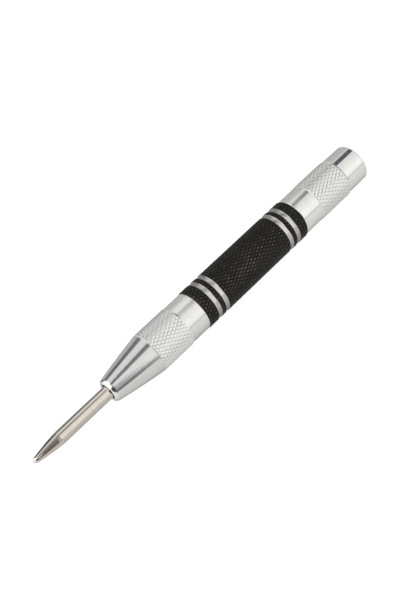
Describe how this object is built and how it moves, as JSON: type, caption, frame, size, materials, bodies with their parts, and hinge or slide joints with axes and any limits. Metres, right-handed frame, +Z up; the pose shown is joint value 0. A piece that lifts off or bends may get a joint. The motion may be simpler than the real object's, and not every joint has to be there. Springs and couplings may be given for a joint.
{
  "type": "automatic centre punch",
  "caption": "Spring-loaded centre punch with a tapered nose, knurled barrel, screw-adjusted end cap and an inner trigger and hammer.",
  "frame": {"origin": "centre of the tool's length and width, on the surface it lies on (the lowest line of the barrel)", "axes": "+X along the tool from the point to the end cap, +Z up, +Y across"},
  "size_m": [0.1326, 0.013, 0.013],
  "materials": {
    "nose_aluminium": "bright turned aluminium, fine turning lines, diamond knurl",
    "barrel_black": "black anodised aluminium with a fine diamond knurl and turned bright ring grooves",
    "cap_aluminium": "bright turned aluminium, fine turning lines, diamond knurl",
    "pin_steel": "hardened steel, ground and polished",
    "trigger_steel": "hardened steel, turned",
    "hammer_steel": "hardened steel, turned, oiled",
    "small_spring_wire": "bright spring wire",
    "spring_wire": "drawn spring wire, lightly oiled"
  },
  "bodies": {
    "housing": {"barrel": "barrel_black", "nose_cone": "nose_aluminium", "return_spring": "small_spring_wire"},
    "punch": {"punch_pin": "pin_steel"},
    "trigger": {"trigger_pin": "trigger_steel"},
    "hammer_body": {"hammer": "hammer_steel"},
    "spring_body": {"main_spring": "spring_wire"},
    "cap": {"end_cap": "cap_aluminium"}
  },
  "joints": [
    {"name": "punch_slide", "type": "slide", "parent": "housing", "child": "punch", "axis": [1, 0, 0], "range_m": [0, 0.009], "stiffness_N_per_m": 900, "deforming": ["return_spring"]},
    {"name": "trigger_tilt", "type": "hinge", "parent": "punch", "child": "trigger", "pos_m": [-0.01525, 0, 0.00648], "axis": [0, 1, 0], "range_deg": [0, 1.81]},
    {"name": "hammer_slide", "type": "slide", "parent": "housing", "child": "hammer_body", "axis": [1, 0, 0], "range_m": [0, 0.00901], "deforming": ["main_spring"]},
    {"name": "cap_feed", "type": "slide", "parent": "housing", "child": "spring_body", "axis": [1, 0, 0], "range_m": [0, 0.004]},
    {"name": "cap_turn", "type": "hinge", "parent": "spring_body", "child": "cap", "pos_m": [0.06315, 0, 0.00648], "axis": [1, 0, 0], "range_deg": [0, 1440.5]}
  ],
  "couplings": [
    {"joint": "hammer_slide", "follows": "punch_slide", "ratio": 1},
    {"joint": "trigger_tilt", "follows": "punch_slide", "rad_per_m": 3.4907},
    {"joint": "cap_turn", "follows": "cap_feed", "rad_per_m": 6283.2}
  ]
}
